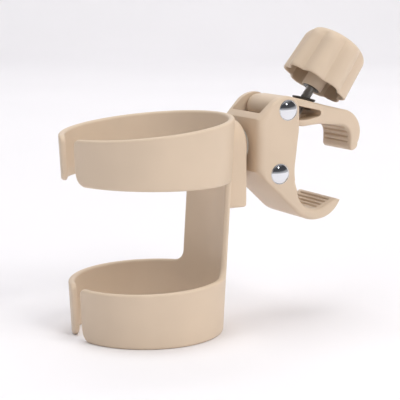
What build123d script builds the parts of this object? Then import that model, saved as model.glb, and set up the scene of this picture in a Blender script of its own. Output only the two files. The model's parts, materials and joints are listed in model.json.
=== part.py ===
"""Desk clamp cup holder: a split two-ring cup frame that hangs on a swivelling screw clamp.

Millimetres, +Z up. The Z axis is the cup's axis and z = 0 is the bottom edge of the lower ring.
+X runs from the cup to the clamp, and the part is symmetric about the XZ plane.
"""
import os
from math import atan, atan2, cos, degrees, radians, sin

from build123d import *

os.makedirs("parts", exist_ok=True)

# ---- cup frame: one conical wall, cut into two split rings and a spine -------------------------
CUP_R_BOTTOM = 37.85        # outer radius at z = 0
CUP_TAPER = 0.0515          # growth of the radius for each mm of height
CUP_WALL = 3.1
LOWER_RIM = (27.46, 0.030)  # height on the cup's axis and slope along X of each slanted edge
UPPER_FOOT = (75.9, -0.019)
UPPER_RIM = (103.1, 0.096)
SPINE_HALF = 21.95
SPINE_FILLET = 5.5          # where the spine stands on the lower ring
LOWER_GAP_HALF = 4.6        # the mouths at -X that a mug's handle passes through
UPPER_GAP_HALF = 7.6
GAP_CORNERS = {"lower_foot": 6.0, "lower_rim": 3.5, "upper_foot": 6.5, "upper_rim": 4.0}

# ---- receiver: an arched block on the frame's back with a channel that is open below -----------
SWIVEL_Z = 90.5             # the arch's centre, and the height of the swivel's axis
RECEIVER_BACK = 50.0
RECEIVER_HALF = 12.75
RECEIVER_FOOT = 60.0
LIP = 2.0
CHANNEL_DEEP = 3.6
CHANNEL_HALF = 9.6
NECK_SLOT_HALF = 5.3

# ---- swivelling button that the receiver hangs on ---------------------------------------------
BUTTON_R = 9.3
BUTTON_THICK = 3.0
NECK_R = 5.0
SHOULDER_R = 8.5
JOURNAL_R = 4.0
SCREW_R = 1.9               # swivel screw
INSERT_R = 2.9

# ---- clamp housing ----------------------------------------------------------------------------
HALF_WIDTH = 18.0
PLATE = 4.0                 # thickness of each side plate
BACK_X = 53.0
SKIN = 3.0                  # back wall and underside
BACK_TOP = 104.5
BACK_CORNER = 4.0
JAW_PIN = (70.3, 108.4)     # X, Z of the upper rivet
BOLT_PIN = (65.9, 76.4)     # X, Z of the lower rivet
LOBE_R = 7.0
MOUTH = (87.9, 67.4)        # centre of the lower jaw's curve
MOUTH_R = 10.9
JAW_THICK = 5.5
UNDERSIDE_SLOPE = 43.3
FRONT_X = 77.3
EDGE_ROUND = 1.0

# ---- rivets -----------------------------------------------------------------------------------
RIVET_R = 2.5
RIVET_HOLE_R = 2.56
DOME_R = 5.25
DOME_HIGH = 1.9

# ---- upper jaw --------------------------------------------------------------------------------
JAW_HALF = 13.25
BARREL_R = 6.2
HUB_TOP = (74.5, 114.7)
JAW_TOP = ((83.0, 112.75), (98.0, 108.9))   # X, Z of the ends of the flat that the washer lies on
PAD_DEEP = 0.9              # how deep each grip pad lies in its pocket, and how proud it stands
PAD_PROUD = 0.3
PAD_BORDER = 1.2            # plain edge beyond the ends of the grooves
UPPER_PAD_HALF = 11.8
LOWER_PAD_HALF = 15.0
GROOVE_R = 0.75
GROOVE_SINK = 0.35          # how far under the pad's surface each groove's centre lies
LOWER_GROOVES = (-1.8, 0.9, 3.6, 6.3)       # places along the jaw, from the end of its arc
UPPER_GROOVES = (-5.4, -2.7, 0.0, 2.7)
SLOT_HALF = 3.1             # the slots that the bolt swings in, one in each flange of the arm
TOP_SLOT = (84.6, 97.5, 106.0, 12.0)        # X of its ends, Z of the cutter's foot, its height
BOTTOM_SLOT = (78.0, 92.0, 95.0, 10.0)

# ---- bolt, washer and knob, along the bolt's axis, measured from the lower rivet ---------------
BOLT_TILT = 35.8            # from the vertical, towards +X
BOLT_R = 2.5
BOLT_LONG = 66.0
EYE_R = 4.4
EYE_HALF = 4.0
BOSS_AT = 50.3
SKIRT_AT = 53.2
KNOB_R = 18.5
KNOB_TALL = 27.5
KNOB_DRAFT = 2.8
KNOB_WALL = 2.3
KNOB_SIDE = 20.0            # height of the drafted side, up to the domed top
KNOB_LOBES = 8
KNOB_PHASE = 27.0           # angle of the first flute, from the side towards the jaw's tip
FLUTE_R = 7.5
FLUTE_DEEP = 1.9
BOSS_R = 5.5
RIB_COUNT = 4
RIB_THICK = 1.4
RIB_MIDDLE = 10.0           # radius of the middle of each rib
RIB_SPAN = 9.4
RIB_RISE = 7.0              # how far above the skirt the ribs start
NUT_R = 4.3                 # across the corners of the hex insert
NUT_LONG = 8.0
RING_R = 4.4
RING_THICK = 1.0


def cone_radius(z):
    """Outer radius of the cup frame's wall at height z."""
    return CUP_R_BOTTOM + CUP_TAPER * z


def edge_height(edge, x):
    """Height of one slanted edge of the cup frame over the point x."""
    return edge[0] + edge[1] * x


def save(piece, name):
    """Label one finished piece and write it as its own STEP file."""
    piece.label = name
    export_step(piece, f"parts/{name}.step")


def edges_near(part, points, reach):
    """Edges of the part whose middle is within reach of one of the points."""
    return [edge for edge in part.edges()
            if min((edge @ 0.5 - Vector(*point)).length for point in points) < reach]


def on_wall(y, z, side):
    """The point in the middle of the cup frame's wall at y and z, on the +X or -X side."""
    radius = cone_radius(z) - CUP_WALL / 2
    return (side * (radius ** 2 - y ** 2) ** 0.5, y, z)


# ================================ cup frame =====================================================
REACH = 60.0                # beyond every face of the cup frame

with BuildPart() as window:  # the space between the rings, all round but for the spine
    with BuildSketch(Plane.XZ):
        Polygon(
            (-REACH, edge_height(LOWER_RIM, -REACH)), (REACH, edge_height(LOWER_RIM, REACH)),
            (REACH, edge_height(UPPER_FOOT, REACH)), (-REACH, edge_height(UPPER_FOOT, -REACH)),
            align=None)
    extrude(amount=REACH, both=True)
    with BuildSketch(Plane.XY):
        with Locations((REACH / 2, 0)):
            Rectangle(REACH, 2 * SPINE_HALF)
    extrude(amount=2 * REACH, mode=Mode.SUBTRACT)
    spine_feet = [(REACH / 2, side * SPINE_HALF, edge_height(LOWER_RIM, REACH / 2))
                  for side in (-1, 1)]
    fillet(edges_near(window, spine_feet, 1.0), SPINE_FILLET)

with BuildPart() as cup_frame:
    with BuildSketch(Plane.XZ):  # the outside of the cone, up to the slanted rim
        Polygon((0, 0), (cone_radius(0), 0), (cone_radius(115), 115), (0, 115), align=None)
    revolve(axis=Axis.Z)
    with BuildSketch(Plane.YZ.offset(RECEIVER_BACK)):  # the receiver's arched block
        with Locations((0, SWIVEL_Z)):
            Circle(RECEIVER_HALF)
        with Locations((0, (SWIVEL_Z + RECEIVER_FOOT) / 2)):
            Rectangle(2 * RECEIVER_HALF, SWIVEL_Z - RECEIVER_FOOT)
    extrude(amount=-RECEIVER_BACK)
    fillet(cup_frame.faces().sort_by(Axis.X)[-1].edges(), 1.5)
    with BuildSketch(Plane.XZ):  # the inside of the cone
        Polygon((0, -1), (cone_radius(-1) - CUP_WALL, -1), (cone_radius(116) - CUP_WALL, 116),
                (0, 116), align=None)
    revolve(axis=Axis.Z, mode=Mode.SUBTRACT)
    with BuildSketch(Plane.XZ):  # above the upper rim
        Polygon((-REACH, edge_height(UPPER_RIM, -REACH)), (REACH, edge_height(UPPER_RIM, REACH)),
                (REACH, 120), (-REACH, 120), align=None)
    extrude(amount=REACH, both=True, mode=Mode.SUBTRACT)
    add(window.part, mode=Mode.SUBTRACT)
    for half, low, high in ((LOWER_GAP_HALF, -1, 50), (UPPER_GAP_HALF, 50, 115)):
        with BuildSketch(Plane.XY.offset(low)):
            with Locations((-REACH / 2, 0)):
                Rectangle(REACH, 2 * half)
        extrude(amount=high - low, mode=Mode.SUBTRACT)
    for name, edge, half in (
            ("lower_foot", (0, 0), LOWER_GAP_HALF), ("lower_rim", LOWER_RIM, LOWER_GAP_HALF),
            ("upper_foot", UPPER_FOOT, UPPER_GAP_HALF), ("upper_rim", UPPER_RIM, UPPER_GAP_HALF)):
        height = edge_height(edge, -cone_radius(50))
        corners = [on_wall(side * half, height, -1) for side in (-1, 1)]
        fillet(edges_near(cup_frame, corners, 2.0), GAP_CORNERS[name])
    # the channel for the button, and the slot for its neck through the lips
    for half, near, deep in ((CHANNEL_HALF, RECEIVER_BACK - LIP, CHANNEL_DEEP),
                             (NECK_SLOT_HALF, RECEIVER_BACK + 1, LIP + 1.5)):
        with BuildSketch(Plane.YZ.offset(near)):
            with Locations((0, SWIVEL_Z)):
                Circle(half)
            with Locations((0, (SWIVEL_Z + RECEIVER_FOOT - 5) / 2)):
                Rectangle(2 * half, SWIVEL_Z - RECEIVER_FOOT + 5)
        extrude(amount=-deep, mode=Mode.SUBTRACT)
save(cup_frame.part, "cup_frame")


# ================================ swivel ========================================================
def turned(profile):
    """A closed (X, radius) outline turned about the swivel's axis, which runs along X."""
    outline = [(x, SWIVEL_Z + radius) for x, radius in profile]
    with BuildPart() as piece:
        with BuildSketch(Plane.XZ):
            Polygon(*outline, align=None)
        revolve(axis=Axis((0, 0, SWIVEL_Z), (1, 0, 0)))
    return piece.part


BUTTON_X = RECEIVER_BACK - LIP - 0.3         # outer face of the button's head
SHOULDER_X = (RECEIVER_BACK + 0.4, BACK_X - 0.9)
JOURNAL_END = BACK_X + SKIN + 0.2

button_profile = [
    (BUTTON_X - BUTTON_THICK, INSERT_R + 0.02), (BUTTON_X - BUTTON_THICK, BUTTON_R),
    (BUTTON_X, BUTTON_R), (BUTTON_X, NECK_R), (SHOULDER_X[0], NECK_R), (SHOULDER_X[0], SHOULDER_R),
    (SHOULDER_X[1], SHOULDER_R), (SHOULDER_X[1], JOURNAL_R), (JOURNAL_END, JOURNAL_R),
    (JOURNAL_END, SCREW_R + 0.1), (JOURNAL_END - 2.5, SCREW_R + 0.1),
    (JOURNAL_END - 2.5, INSERT_R + 0.02)]
save(turned(button_profile), "mount_button")

INSERT_X = (BUTTON_X - BUTTON_THICK, JOURNAL_END - 2.6)
save(turned([(INSERT_X[0], SCREW_R + 0.02), (INSERT_X[0], INSERT_R), (INSERT_X[1], INSERT_R),
             (INSERT_X[1], SCREW_R + 0.02)]), "swivel_insert")

save(turned([(BACK_X - 0.85, JOURNAL_R + 0.1), (BACK_X - 0.85, SHOULDER_R), (BACK_X - 0.05, SHOULDER_R),
             (BACK_X - 0.05, JOURNAL_R + 0.1)]), "friction_washer")

WASHER_X = (JOURNAL_END + 0.02, JOURNAL_END + 1.0)
WAVE_X = (WASHER_X[1], WASHER_X[1] + 0.8)
save(turned([(WASHER_X[0], SCREW_R + 0.15), (WASHER_X[0], 6.5), (WASHER_X[1], 6.5),
             (WASHER_X[1], SCREW_R + 0.15)]), "swivel_washer")
save(turned([(WAVE_X[0], SCREW_R + 0.3), (WAVE_X[0], 4.4), (WAVE_X[1], 4.4),
             (WAVE_X[1], SCREW_R + 0.3)]), "wave_washer")

with BuildPart() as swivel_screw:  # pan head towards the clamp's inside, with a cross recess
    with BuildSketch(Plane.YZ.offset(INSERT_X[0] + 0.5)):
        with Locations((0, SWIVEL_Z)):
            Circle(SCREW_R)
    extrude(amount=WAVE_X[1] - INSERT_X[0] - 0.5)
    with BuildSketch(Plane.YZ.offset(WAVE_X[1])):
        with Locations((0, SWIVEL_Z)):
            Circle(3.8)
    extrude(amount=2.4)
    fillet(swivel_screw.edges().sort_by(Axis.X)[-1], 1.2)
    with BuildSketch(Plane.YZ.offset(WAVE_X[1] + 2.4)):
        with Locations((0, SWIVEL_Z)):
            Rectangle(4.2, 0.9)
            Rectangle(0.9, 4.2)
    extrude(amount=-1.2, mode=Mode.SUBTRACT)
save(swivel_screw.part, "swivel_screw")

# ================================ clamp housing =================================================
SLOPE = radians(UNDERSIDE_SLOPE)
OUTER_R = MOUTH_R + JAW_THICK
LIP_ANGLE = 295.0           # where the mouth's arc runs straight on to the lower jaw's tip
TIP_ANGLE = 335.0


def around(centre, radius, angle):
    """The point on a circle in the XZ plane, with the angle in degrees from +X towards +Z."""
    return (centre[0] + radius * cos(radians(angle)), centre[1] + radius * sin(radians(angle)))


def beyond(centre, radius, angle, length, turn):
    """The point a length further along the tangent at a point of such a circle."""
    foot = around(centre, radius, angle)
    heading = radians(angle + turn * 90)
    return (foot[0] + length * cos(heading), foot[1] + length * sin(heading))


def pad_band(centre, radius, start, end, length, turn, near, deep):
    """Sketch of a band along an arc and its tangent, from near inside the arc to deep outside it.

    The arc runs from start to end degrees; turn is the way to go round it to reach the tangent.
    """
    with BuildSketch(Plane.XZ) as band:
        with BuildLine():
            CenterArc(centre, radius - near, start, end - start)
            Polyline(around(centre, radius - near, end),
                     beyond(centre, radius - near, end, length, turn),
                     beyond(centre, radius + deep, end, length, turn),
                     around(centre, radius + deep, end))
            CenterArc(centre, radius + deep, end, start - end)
            Line(around(centre, radius + deep, start), around(centre, radius - near, start))
        make_face()
    return band.sketch


underside = around(MOUTH, OUTER_R, 270 - UNDERSIDE_SLOPE)     # where the straight underside ends
back_foot = (BACK_X, underside[1] + (underside[0] - BACK_X) * sin(SLOPE) / cos(SLOPE))
mouth_end = around(MOUTH, MOUTH_R, LIP_ANGLE)
jaw_tip = (mouth_end[0] + 8.3, mouth_end[1] + 8.3 * sin(radians(25)) / cos(radians(25)))
outer_tip = around(MOUTH, OUTER_R, TIP_ANGLE)
mouth_back = (MOUTH[0] - MOUTH_R, MOUTH[1])
ear_start = (60.6, 111.3)


def lower_band(near):
    """The lower grip pad's outline, reaching near above the jaw's surface."""
    return pad_band(MOUTH, MOUTH_R, 238, LIP_ANGLE, 7.6, 1, near, PAD_DEEP)


def on_band(centre, radius, end, turn, distance):
    """The point a distance past the end of a band's arc, or back on the arc if it is negative."""
    if distance > 0:
        return beyond(centre, radius, end, distance, turn)
    return around(centre, radius, end + turn * degrees(distance / radius))


def grooved_pad(outline, half, places):
    """A grip pad with a round-bottomed groove across it at each place."""
    with BuildPart() as pad:
        extrude(outline, amount=half, both=True)
        with BuildSketch(Plane.XZ):
            with Locations(*places):
                Circle(GROOVE_R)
        extrude(amount=half - PAD_BORDER, both=True, mode=Mode.SUBTRACT)
    return pad.part


with BuildPart() as clamp_housing:
    with BuildSketch(Plane.XZ):
        with BuildLine():
            Line(back_foot, (BACK_X, BACK_TOP))
            Line((BACK_X, BACK_TOP), ear_start)
            ThreePointArc(ear_start, (65.0, 114.3), (JAW_PIN[0], JAW_PIN[1] + LOBE_R))
            CenterArc(JAW_PIN, LOBE_R, 90, -90)
            Polyline((FRONT_X, JAW_PIN[1]), (FRONT_X, 98.0), (75.1, 79.5))
            ThreePointArc((75.1, 79.5), (75.4, 73.0), mouth_back)
            CenterArc(MOUTH, MOUTH_R, 180, LIP_ANGLE - 180)
            Line(mouth_end, jaw_tip)
            ThreePointArc(jaw_tip, (jaw_tip[0] + 2.1, jaw_tip[1] + 0.5), outer_tip)
            CenterArc(MOUTH, OUTER_R, TIP_ANGLE, 270 - UNDERSIDE_SLOPE - TIP_ANGLE)
            Line(underside, back_foot)
        make_face()
    extrude(amount=HALF_WIDTH)  # the half at -Y, which is mirrored at the end
    back_edge = (BACK_X, -HALF_WIDTH, (back_foot[1] + BACK_TOP) / 2)
    fillet(edges_near(clamp_housing, [back_edge], 1.0), BACK_CORNER)
    outline = clamp_housing.faces().sort_by(Axis.Y)[0].edges()
    # the smooth edge where the back corner starts stays as it is
    fillet([edge for edge in outline if (edge @ 0.5).X > BACK_X + BACK_CORNER + 0.1], EDGE_ROUND)
    with BuildSketch(Plane.XZ):  # the hollow between the side plates, open at the top and front
        inner_foot = (BACK_X + SKIN,
                      back_foot[1] - SKIN * sin(SLOPE) / cos(SLOPE) + SKIN / cos(SLOPE))
        wall_foot = around(MOUTH, MOUTH_R + SKIN, 205)
        floor_end = (wall_foot[0] - 1.0, inner_foot[1] - (wall_foot[0] - 1.0 - inner_foot[0])
                     * sin(SLOPE) / cos(SLOPE))
        with BuildLine():
            Polyline(floor_end, inner_foot, (BACK_X + SKIN, 130), (90, 130), (90, 72), (73.7, 72),
                     around(MOUTH, MOUTH_R + SKIN, 180))
            CenterArc(MOUTH, MOUTH_R + SKIN, 180, 25)
            Line(wall_foot, floor_end)
        make_face()
    extrude(amount=HALF_WIDTH - PLATE, mode=Mode.SUBTRACT)
    extrude(lower_band(PAD_PROUD + 1), amount=LOWER_PAD_HALF, mode=Mode.SUBTRACT)
    with BuildSketch(Plane.XZ.offset(EYE_HALF + 0.3)):  # boss beside the bolt's eye
        with Locations(BOLT_PIN):
            Circle(4.5)
    extrude(amount=HALF_WIDTH - PLATE - EYE_HALF)
    with BuildSketch(Plane.XZ):  # rivet holes
        with Locations(JAW_PIN, BOLT_PIN):
            Circle(RIVET_HOLE_R)
    extrude(amount=HALF_WIDTH + 1, mode=Mode.SUBTRACT)
    mirror(about=Plane.XZ)
    with BuildSketch(Plane.YZ.offset(BACK_X - 1)):  # bearing for the button's journal
        with Locations((0, SWIVEL_Z)):
            Circle(JOURNAL_R + 0.06)
    extrude(amount=SKIN + 2, mode=Mode.SUBTRACT)
save(clamp_housing.part, "clamp_housing")
GROOVE_SHIFT = PAD_PROUD + GROOVE_SINK
lower_places = [on_band(MOUTH, MOUTH_R - GROOVE_SHIFT, LIP_ANGLE, 1, distance)
                for distance in LOWER_GROOVES]
save(grooved_pad(lower_band(PAD_PROUD), LOWER_PAD_HALF, lower_places), "lower_jaw_pad")

# ================================ rivets ========================================================
def dome(centre, side):
    """A domed rivet head on the outer face of one side plate, as (Y, radius) turned about Y."""
    rise = (DOME_R ** 2 - DOME_HIGH ** 2) / (2 * DOME_HIGH)      # how far the sphere's centre is sunk
    face = side * HALF_WIDTH
    middle = radians(degrees(atan2(DOME_R, rise)) / 2)
    ball = rise + DOME_HIGH
    section = Plane(origin=(centre[0], 0, centre[1]), x_dir=(1, 0, 0), z_dir=(0, 0, 1))
    with BuildSketch(section) as half:
        with BuildLine():
            Line((0, face), (DOME_R, face))
            ThreePointArc((DOME_R, face),
                          (ball * sin(middle), face + side * (ball * cos(middle) - rise)),
                          (0, face + side * DOME_HIGH))
            Line((0, face + side * DOME_HIGH), (0, face))
        make_face()
    spin = Axis((centre[0], 0, centre[1]), (0, 1, 0))
    return revolve(half.sketch, axis=spin, mode=Mode.PRIVATE)


for name, centre in (("upper_rivet", JAW_PIN), ("lower_rivet", BOLT_PIN)):
    with BuildPart() as rivet:
        with BuildSketch(Plane.XZ.offset(-HALF_WIDTH + 2.0)):
            with Locations(centre):
                Circle(RIVET_R)
        extrude(amount=2 * HALF_WIDTH - 2.0)
        add(dome(centre, -1))
    save(rivet.part, name)
    with BuildPart() as cap:
        add(dome(centre, 1))
        with BuildSketch(Plane.XZ.offset(-HALF_WIDTH)):
            with Locations(centre):
                Circle(RIVET_R)
        extrude(amount=1.9)
    save(cap.part, name + "_cap")


# ================================ upper jaw =====================================================
HOOK = (106.0, 94.6)        # centre of the hook's outer curve
HOOK_R = 12.2
HOOK_CORNER = (105.2, 92.2)  # centre of the hook's inner corner
HOOK_CORNER_R = 6.5
HOOK_INNER_X = HOOK_CORNER[0] + HOOK_CORNER_R
hook_end = around(HOOK, HOOK_R, -28)
corner_end = around(HOOK_CORNER, HOOK_CORNER_R, 85)


def upper_band(near):
    """The upper grip pad's outline, reaching near out of the hook's inner face."""
    return pad_band(HOOK_CORNER, HOOK_CORNER_R, 78, 0, 3.6, -1, near, PAD_DEEP)


with BuildPart() as upper_jaw:
    with BuildSketch(Plane.XZ):
        with BuildLine():
            Polyline((66.5, 112.6), HUB_TOP, *JAW_TOP, around(HOOK, HOOK_R, 82))
            CenterArc(HOOK, HOOK_R, 82, -110)
            ThreePointArc(hook_end, (hook_end[0] - 2.0, hook_end[1] - 3.6), (113.2, 84.9))
            ThreePointArc((113.2, 84.9), (111.9, 86.0), (HOOK_INNER_X, 87.6))
            Line((HOOK_INNER_X, 87.6), (HOOK_INNER_X, HOOK_CORNER[1]))
            CenterArc(HOOK_CORNER, HOOK_CORNER_R, 0, 85)
            Polyline(corner_end, beyond(HOOK_CORNER, HOOK_CORNER_R, 85, 13.4, 1), (82.0, 99.0),
                     (72.0, 102.6), JAW_PIN, (66.5, 112.6))
        make_face()
        with Locations(JAW_PIN):
            Circle(BARREL_R)
    extrude(amount=JAW_HALF)
    outline = upper_jaw.faces().sort_by(Axis.Y)[0].edges()
    fillet(outline, 1.0)
    extrude(upper_band(PAD_PROUD + 1), amount=UPPER_PAD_HALF, mode=Mode.SUBTRACT)
    with BuildSketch(Plane.XZ):  # the opening through the arm, between its two flanges
        with BuildLine():
            Line((78.5, 110.2), (91.0, 107.3))
            ThreePointArc((91.0, 107.3), (93.2, 105.5), (91.8, 103.8))
            Polyline((91.8, 103.8), (86.0, 102.5), (78.5, 102.3), (78.5, 110.2))
        make_face()
    extrude(amount=JAW_HALF + 1, mode=Mode.SUBTRACT)
    for start, end, foot, height in (TOP_SLOT, BOTTOM_SLOT):
        with BuildSketch(Plane.XY.offset(foot)):
            with Locations(((start + end) / 2, 0)):
                SlotOverall(end - start, 2 * SLOT_HALF)
        extrude(amount=height, mode=Mode.SUBTRACT)
    with BuildSketch(Plane.XZ):
        with Locations(JAW_PIN):
            Circle(RIVET_R + 0.08)
    extrude(amount=JAW_HALF + 1, mode=Mode.SUBTRACT)
    mirror(about=Plane.XZ)
save(upper_jaw.part, "upper_jaw")
upper_places = [on_band(HOOK_CORNER, HOOK_CORNER_R - GROOVE_SHIFT, 0, -1, distance)
                for distance in UPPER_GROOVES]
save(grooved_pad(upper_band(PAD_PROUD), UPPER_PAD_HALF, upper_places), "upper_jaw_pad")

# ================================ bolt, washer and knob =========================================
TILT = radians(BOLT_TILT)
BOLT_DIR = (sin(TILT), 0, cos(TILT))
BOLT_FOOT = (BOLT_PIN[0], 0, BOLT_PIN[1])


def across_bolt(at):
    """The plane square to the bolt, at a distance from the lower rivet; its x points down the jaw."""
    origin = tuple(BOLT_FOOT[i] + at * BOLT_DIR[i] for i in range(3))
    return Plane(origin=origin, x_dir=(cos(TILT), 0, -sin(TILT)), z_dir=BOLT_DIR)


with BuildPart() as eye_bolt:
    with BuildSketch(Plane.XZ):
        with Locations(BOLT_PIN):
            Circle(EYE_R)
    extrude(amount=EYE_HALF, both=True)
    with BuildSketch(across_bolt(0)):
        Circle(BOLT_R)
    extrude(amount=BOLT_LONG)
    chamfer(eye_bolt.edges().sort_by(Axis.Z)[-1], 0.5)
    with BuildSketch(Plane.XZ):
        with Locations(BOLT_PIN):
            Circle(RIVET_R + 0.06)
    extrude(amount=EYE_HALF + 1, both=True, mode=Mode.SUBTRACT)
save(eye_bolt.part, "eye_bolt")

TOP_FALL = (JAW_TOP[0][1] - JAW_TOP[1][1]) / (JAW_TOP[1][0] - JAW_TOP[0][0])
SEAT_AT = ((JAW_TOP[0][1] - BOLT_PIN[1] + TOP_FALL * (JAW_TOP[0][0] - BOLT_PIN[0]))
           / (cos(TILT) + TOP_FALL * sin(TILT)))     # where the bolt comes out of the jaw's top
TOP_SLOPE = atan(TOP_FALL)
WASHER_HOLE_R = 3.5
WASHER_FOOT_R = 4.4         # the flat that rests on the jaw; outside it the washer is dished
WASHER_R = 6.1
WASHER_THICK = 0.8
WASHER_DISH = 1.0           # how far the rim stands above the flat
washer_up = Vector(sin(TOP_SLOPE), 0, cos(TOP_SLOPE))
washer_plane = Plane(origin=across_bolt(SEAT_AT).origin, x_dir=(cos(TOP_SLOPE), 0, -sin(TOP_SLOPE)),
                     z_dir=(0, -1, 0))
with BuildPart() as jaw_washer:
    with BuildSketch(washer_plane):  # x is the radius and y the height above the jaw
        Polygon((WASHER_HOLE_R, 0), (WASHER_FOOT_R, 0), (WASHER_R, WASHER_DISH),
                (WASHER_R, WASHER_DISH + WASHER_THICK), (WASHER_FOOT_R - 0.2, WASHER_THICK),
                (WASHER_HOLE_R, WASHER_THICK), align=None)
    revolve(axis=Axis(washer_plane.origin, washer_up))
save(jaw_washer.part, "jaw_washer")

with BuildPart() as bearing_ring:
    with BuildSketch(across_bolt(BOSS_AT)):
        Circle(RING_R)
        Circle(BOLT_R + 0.25, mode=Mode.SUBTRACT)
    extrude(amount=RING_THICK)
save(bearing_ring.part, "bearing_ring")

NUT_AT = BOSS_AT + RING_THICK + 0.4
with BuildPart() as knob_nut:
    with BuildSketch(across_bolt(NUT_AT)):
        RegularPolygon(NUT_R, 6)
        Circle(BOLT_R + 0.05, mode=Mode.SUBTRACT)
    extrude(amount=NUT_LONG)
save(knob_nut.part, "knob_nut")

KNOB_TOP = SKIRT_AT + KNOB_TALL
KNOB_CEILING = SKIRT_AT + KNOB_SIDE + 3.0
CAVITY_R = KNOB_R - FLUTE_DEEP - KNOB_WALL
CROWN_R = KNOB_R - KNOB_SIDE * sin(radians(KNOB_DRAFT))
BORE_R = BOLT_R + 0.35
with BuildPart() as knob:
    radial_plane = Plane(origin=BOLT_FOOT, x_dir=(cos(TILT), 0, -sin(TILT)), z_dir=(0, -1, 0))
    with BuildSketch(radial_plane):  # x is the radius and y the distance along the bolt
        with BuildLine():
            Polyline((CAVITY_R, SKIRT_AT), (KNOB_R, SKIRT_AT),
                     (CROWN_R, SKIRT_AT + KNOB_SIDE))
            ThreePointArc((CROWN_R, SKIRT_AT + KNOB_SIDE), (CROWN_R - 1.8, KNOB_TOP - 2.7),
                          (CROWN_R - 6.0, KNOB_TOP - 0.5))
            Polyline((CROWN_R - 6.0, KNOB_TOP - 0.5), (0, KNOB_TOP), (0, KNOB_TOP - 4.5),
                     (BORE_R, KNOB_TOP - 4.5), (BORE_R, BOSS_AT), (BOSS_R, BOSS_AT), (BOSS_R, KNOB_CEILING),
                     (CROWN_R - 6.0, KNOB_CEILING), (CAVITY_R - 1, SKIRT_AT + KNOB_SIDE - 1),
                     (CAVITY_R, SKIRT_AT))
        make_face()
    revolve(axis=Axis(BOLT_FOOT, BOLT_DIR))
    with BuildSketch(across_bolt(SKIRT_AT - 1)):  # shallow flutes between the lobes
        with PolarLocations(KNOB_R + FLUTE_R - FLUTE_DEEP, KNOB_LOBES, start_angle=KNOB_PHASE):
            Circle(FLUTE_R)
    extrude(amount=KNOB_TALL + 2, mode=Mode.SUBTRACT)
    with BuildSketch(across_bolt(SKIRT_AT + RIB_RISE)):  # ribs from the boss to the skirt
        with PolarLocations(RIB_MIDDLE, RIB_COUNT, start_angle=KNOB_PHASE):
            Rectangle(RIB_SPAN, RIB_THICK)
    extrude(amount=KNOB_SIDE - RIB_RISE)
    with BuildSketch(across_bolt(BOSS_AT - 1)):  # recess for the bearing ring
        Circle(RING_R + 0.3)
    extrude(amount=RING_THICK + 1.1, mode=Mode.SUBTRACT)
    with BuildSketch(across_bolt(NUT_AT)):
        RegularPolygon(NUT_R + 0.02, 6)
    extrude(amount=NUT_LONG, mode=Mode.SUBTRACT)
save(knob.part, "knob")
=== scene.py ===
"""Looks for the desk clamp cup holder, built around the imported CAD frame. Metres, +Z up."""
import json
import math

import bmesh
import bpy
import numpy as np
from mathutils import Matrix, Vector
from mathutils.geometry import delaunay_2d_cdt


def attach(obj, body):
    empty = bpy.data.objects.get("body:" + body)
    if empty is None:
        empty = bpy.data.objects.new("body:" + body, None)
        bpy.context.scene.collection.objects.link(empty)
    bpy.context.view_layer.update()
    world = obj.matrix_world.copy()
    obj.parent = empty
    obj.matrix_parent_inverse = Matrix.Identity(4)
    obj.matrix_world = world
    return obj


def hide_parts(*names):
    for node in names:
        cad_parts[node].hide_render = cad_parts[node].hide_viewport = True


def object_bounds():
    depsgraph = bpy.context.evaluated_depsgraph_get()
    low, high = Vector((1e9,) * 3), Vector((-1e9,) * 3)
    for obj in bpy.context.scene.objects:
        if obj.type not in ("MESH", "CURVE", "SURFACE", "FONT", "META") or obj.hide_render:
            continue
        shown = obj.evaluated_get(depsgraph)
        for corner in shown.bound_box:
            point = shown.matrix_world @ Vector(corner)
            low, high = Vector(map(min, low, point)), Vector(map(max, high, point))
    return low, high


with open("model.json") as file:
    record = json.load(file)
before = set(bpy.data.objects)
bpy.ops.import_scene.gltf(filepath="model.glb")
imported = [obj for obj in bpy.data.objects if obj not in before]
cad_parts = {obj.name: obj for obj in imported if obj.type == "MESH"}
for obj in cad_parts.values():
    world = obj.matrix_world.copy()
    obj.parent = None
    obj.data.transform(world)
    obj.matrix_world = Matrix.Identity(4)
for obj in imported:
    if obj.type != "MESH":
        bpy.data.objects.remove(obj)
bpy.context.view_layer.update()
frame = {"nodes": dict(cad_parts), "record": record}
MM = 0.001


# ================================ materials =====================================================
PLASTIC_RELIEF, METAL_RELIEF = 0.0001, 0.00005      # depth of the surface grain, in metres
PLASTIC_IOR = 1.46
FLOW_SCALE, TARNISH_SCALE = 38.0, 220.0             # patches in each metre
EDGE_HIGHLIGHT_START, EDGE_HIGHLIGHT_FULL = 0.52, 0.62                  # how sharp an edge is where it starts and ends turning paler, a painted highlight


def material(name):
    """A new material: itself, its node tree, its shader and its object coordinates."""
    mat = bpy.data.materials.new(name)
    mat.use_nodes = True
    tree = mat.node_tree
    shader = tree.nodes["Principled BSDF"]
    coords = tree.nodes.new("ShaderNodeTexCoord")
    return mat, tree, shader, coords.outputs["Object"]


def noise(tree, coords, scale, detail=3.0, rough=0.5):
    """A noise texture in object space, scale in features for each metre."""
    node = tree.nodes.new("ShaderNodeTexNoise")
    node.inputs["Scale"].default_value = scale
    node.inputs["Detail"].default_value = detail
    node.inputs["Roughness"].default_value = rough
    tree.links.new(coords, node.inputs["Vector"])
    return node.outputs["Fac"]


def ramp(tree, value, stops):
    """A colour ramp with stops of (position, colour)."""
    node = tree.nodes.new("ShaderNodeValToRGB")
    elements = node.color_ramp.elements
    while len(elements) < len(stops):
        elements.new(0.5)
    for element, (position, colour) in zip(elements, stops):
        element.position = position
        element.color = (*colour, 1.0)
    tree.links.new(value, node.inputs["Fac"])
    return node.outputs["Color"]


def spread(tree, value, low, high):
    """The value mapped from 0..1 to low..high."""
    node = tree.nodes.new("ShaderNodeMapRange")
    node.inputs["To Min"].default_value = low
    node.inputs["To Max"].default_value = high
    tree.links.new(value, node.inputs["Value"])
    return node.outputs["Result"]


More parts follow.
